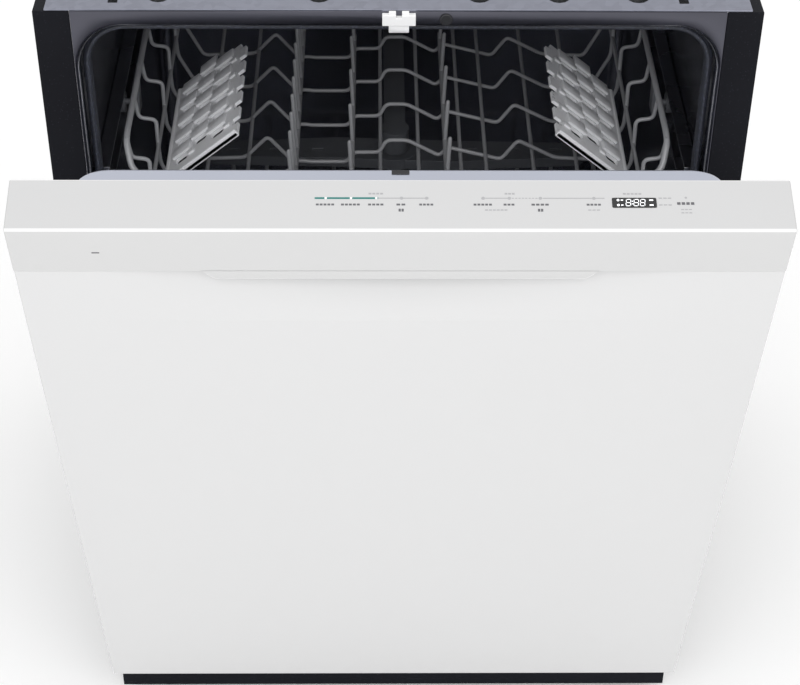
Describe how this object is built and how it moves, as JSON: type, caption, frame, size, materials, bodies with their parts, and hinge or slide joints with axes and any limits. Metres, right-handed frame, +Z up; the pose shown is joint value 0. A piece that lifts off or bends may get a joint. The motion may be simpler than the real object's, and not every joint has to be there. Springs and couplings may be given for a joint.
{
  "type": "built-in dishwasher",
  "caption": "Under-counter dishwasher with a hinged front door and pocket grip, sliding wire racks, fold-up cup shelves and spinning spray arms in a steel tub.",
  "frame": {"origin": "middle of the footprint on the floor, with the feet screwed in and the door at the pictured angle", "axes": "+Z up, -Y out of the front door, +X to the viewer's right"},
  "size_m": [0.612, 0.813, 0.848],
  "materials": {
    "white_enamel": "smooth white enamel on steel, low gloss",
    "white_plastic": "smooth white console plastic, satin gloss",
    "bright_white": "bright white moulded plastic",
    "stainless": "drawn stainless sheet, fine grain",
    "liner_steel": "pressed stainless sheet",
    "galvanised": "galvanised sheet, dull spangle",
    "black_plastic": "matte black moulded plastic",
    "black_paint": "black powder coat",
    "black_glass": "black display window",
    "rubber": "dark soft rubber",
    "grey_plastic": "grey moulded plastic",
    "wire_grey": "grey nylon coating over steel wire",
    "clear_plastic": "frosted clear moulded plastic",
    "felt": "dark sound blanket felt",
    "board_green": "circuit board with parts",
    "element_steel": "dull steel"
  },
  "bodies": {
    "body": {"tub": "stainless", "tub_gasket": "rubber", "side_trim_left": "black_plastic", "side_trim_right": "black_plastic", "top_brace": "galvanised", "latch_strike": "bright_white", "flange_bumper": "black_plastic", "insulation_blanket": "felt", "base_frame": "black_paint", "toe_kick": "black_paint", "access_panel": "black_paint", "junction_box": "galvanised", "inlet_valve": "grey_plastic", "sump": "grey_plastic", "circulation_pump": "grey_plastic", "drain_pump": "black_plastic", "heating_element": "element_steel", "filter_plate": "element_steel", "feed_tube": "grey_plastic", "upper_rail_left": "liner_steel", "upper_rail_right": "liner_steel"},
    "door": {"door_panel": "white_enamel", "door_fascia": "white_plastic", "display_window": "black_glass", "control_board": "board_green", "door_insulation": "felt", "door_liner": "liner_steel", "dispenser_body": "grey_plastic", "hinge_arm_left": "galvanised", "hinge_arm_right": "galvanised"},
    "lid": {"dispenser_lid": "grey_plastic"},
    "rinse_cap": {"rinse_cap": "black_plastic"},
    "latch": {"door_latch": "black_plastic"},
    "upper_rack": {"upper_rack_walls": "wire_grey", "upper_rack_floor": "wire_grey", "upper_rack_tines": "wire_grey", "upper_manifold": "grey_plastic"},
    "shelf_left": {"cup_shelf_left": "clear_plastic"},
    "shelf_right": {"cup_shelf_right": "clear_plastic"},
    "upper_arm": {"upper_spray_arm": "grey_plastic"},
    "lower_rack": {"lower_rack_walls": "wire_grey", "lower_rack_floor": "wire_grey", "lower_rack_tines": "wire_grey"},
    "basket": {"silverware_basket": "grey_plastic"},
    "tines": {"fold_tines": "wire_grey"},
    "lower_arm": {"lower_spray_arm": "grey_plastic"},
    "filter": {"filter_cup": "grey_plastic"},
    "float": {"float": "grey_plastic"},
    "upper_wheel_fl": {"upper_wheel_fl": "grey_plastic"},
    "lower_wheel_fl": {"lower_wheel_fl": "grey_plastic"},
    "upper_wheel_fr": {"upper_wheel_fr": "grey_plastic"},
    "lower_wheel_fr": {"lower_wheel_fr": "grey_plastic"},
    "upper_wheel_rl": {"upper_wheel_rl": "grey_plastic"},
    "lower_wheel_rl": {"lower_wheel_rl": "grey_plastic"},
    "upper_wheel_rr": {"upper_wheel_rr": "grey_plastic"},
    "lower_wheel_rr": {"lower_wheel_rr": "grey_plastic"},
    "leg_front_left": {"leg_front_left": "galvanised"},
    "leg_front_right": {"leg_front_right": "galvanised"},
    "leg_rear_left": {"leg_rear_left": "galvanised"},
    "leg_rear_right": {"leg_rear_right": "galvanised"}
  },
  "joints": [
    {"name": "door_hinge", "type": "hinge", "parent": "body", "child": "door", "pos_m": [0, -0.163, 0.1523], "axis": [1, 0, 0], "range_deg": [-15.9, 74.1]},
    {"name": "dispenser_lid_slide", "type": "slide", "parent": "door", "child": "lid", "axis": [0, 0.274, -0.9617], "range_m": [0, 0.068]},
    {"name": "rinse_cap_twist", "type": "hinge", "parent": "door", "child": "rinse_cap", "pos_m": [0.013, -0.2609, 0.52993], "axis": [0, 0.9617, 0.274], "range_deg": [0, 90]},
    {"name": "door_latch_slide", "type": "slide", "parent": "door", "child": "latch", "axis": [0, -0.274, 0.9617], "range_m": [0, 0.007]},
    {"name": "upper_rack_slide", "type": "slide", "parent": "body", "child": "upper_rack", "axis": [0, -1, 0], "range_m": [0, 0.12]},
    {"name": "lower_rack_slide", "type": "slide", "parent": "body", "child": "lower_rack", "axis": [0, -1, 0], "range_m": [0, 0.045]},
    {"name": "cup_shelf_left_fold", "type": "hinge", "parent": "upper_rack", "child": "shelf_left", "pos_m": [-0.216, 0, 0.645], "axis": [0, -1, 0], "range_deg": [-39, 45]},
    {"name": "cup_shelf_right_fold", "type": "hinge", "parent": "upper_rack", "child": "shelf_right", "pos_m": [0.216, 0, 0.645], "axis": [0, 1, 0], "range_deg": [-39, 45]},
    {"name": "upper_spray_arm_spin", "type": "hinge", "parent": "upper_rack", "child": "upper_arm", "pos_m": [0, 0.095, 0.54], "axis": [0, 0, 1], "continuous": true},
    {"name": "lower_spray_arm_spin", "type": "hinge", "parent": "body", "child": "lower_arm", "pos_m": [0, 0.125, 0.19], "axis": [0, 0, 1], "continuous": true},
    {"name": "filter_cup_twist", "type": "hinge", "parent": "body", "child": "filter", "pos_m": [0.055, 0.125, 0.15], "axis": [0, 0, 1], "range_deg": [0, 60]},
    {"name": "float_lift", "type": "slide", "parent": "body", "child": "float", "axis": [0, 0, 1], "range_m": [0, 0.012]},
    {"name": "silverware_basket_lift", "type": "slide", "parent": "lower_rack", "child": "basket", "axis": [0, 0, 1], "range_m": [0, 0.11]},
    {"name": "tines_fold", "type": "hinge", "parent": "lower_rack", "child": "tines", "pos_m": [0.06, 0, 0.226], "axis": [0, 1, 0], "range_deg": [0, 84]},
    {"name": "leg_front_left_screw", "type": "slide", "parent": "body", "child": "leg_front_left", "axis": [0, 0, -1], "range_m": [0, 0.038]},
    {"name": "leg_front_right_screw", "type": "slide", "parent": "body", "child": "leg_front_right", "axis": [0, 0, -1], "range_m": [0, 0.038]},
    {"name": "leg_rear_left_screw", "type": "slide", "parent": "body", "child": "leg_rear_left", "axis": [0, 0, -1], "range_m": [0, 0.038]},
    {"name": "leg_rear_right_screw", "type": "slide", "parent": "body", "child": "leg_rear_right", "axis": [0, 0, -1], "range_m": [0, 0.038]},
    {"name": "upper_wheel_fl_roll", "type": "hinge", "parent": "upper_rack", "child": "upper_wheel_fl", "pos_m": [-0.2634, -0.01, 0.664], "axis": [1, 0, 0], "range_deg": [-5, 660]},
    {"name": "upper_wheel_fr_roll", "type": "hinge", "parent": "upper_rack", "child": "upper_wheel_fr", "pos_m": [0.2634, -0.01, 0.664], "axis": [1, 0, 0], "range_deg": [-5, 660]},
    {"name": "upper_wheel_rl_roll", "type": "hinge", "parent": "upper_rack", "child": "upper_wheel_rl", "pos_m": [-0.2634, 0.28, 0.664], "axis": [1, 0, 0], "range_deg": [-5, 660]},
    {"name": "upper_wheel_rr_roll", "type": "hinge", "parent": "upper_rack", "child": "upper_wheel_rr", "pos_m": [0.2634, 0.28, 0.664], "axis": [1, 0, 0], "range_deg": [-5, 660]},
    {"name": "lower_wheel_fl_roll", "type": "hinge", "parent": "lower_rack", "child": "lower_wheel_fl", "pos_m": [-0.223, -0.057, 0.1784], "axis": [1, 0, 0], "range_deg": [-5, 170]},
    {"name": "lower_wheel_fr_roll", "type": "hinge", "parent": "lower_rack", "child": "lower_wheel_fr", "pos_m": [0.223, -0.057, 0.1784], "axis": [1, 0, 0], "range_deg": [-5, 170]},
    {"name": "lower_wheel_rl_roll", "type": "hinge", "parent": "lower_rack", "child": "lower_wheel_rl", "pos_m": [-0.223, 0.241, 0.1784], "axis": [1, 0, 0], "range_deg": [-5, 170]},
    {"name": "lower_wheel_rr_roll", "type": "hinge", "parent": "lower_rack", "child": "lower_wheel_rr", "pos_m": [0.223, 0.241, 0.1784], "axis": [1, 0, 0], "range_deg": [-5, 170]}
  ],
  "couplings": [
    {"joint": "upper_wheel_fl_roll", "follows": "upper_rack_slide", "rad_per_m": 95.238},
    {"joint": "upper_wheel_fr_roll", "follows": "upper_rack_slide", "rad_per_m": 95.238},
    {"joint": "upper_wheel_rl_roll", "follows": "upper_rack_slide", "rad_per_m": 95.238},
    {"joint": "upper_wheel_rr_roll", "follows": "upper_rack_slide", "rad_per_m": 95.238},
    {"joint": "lower_wheel_fl_roll", "follows": "lower_rack_slide", "rad_per_m": 62.5},
    {"joint": "lower_wheel_fr_roll", "follows": "lower_rack_slide", "rad_per_m": 62.5},
    {"joint": "lower_wheel_rl_roll", "follows": "lower_rack_slide", "rad_per_m": 62.5},
    {"joint": "lower_wheel_rr_roll", "follows": "lower_rack_slide", "rad_per_m": 62.5}
  ]
}
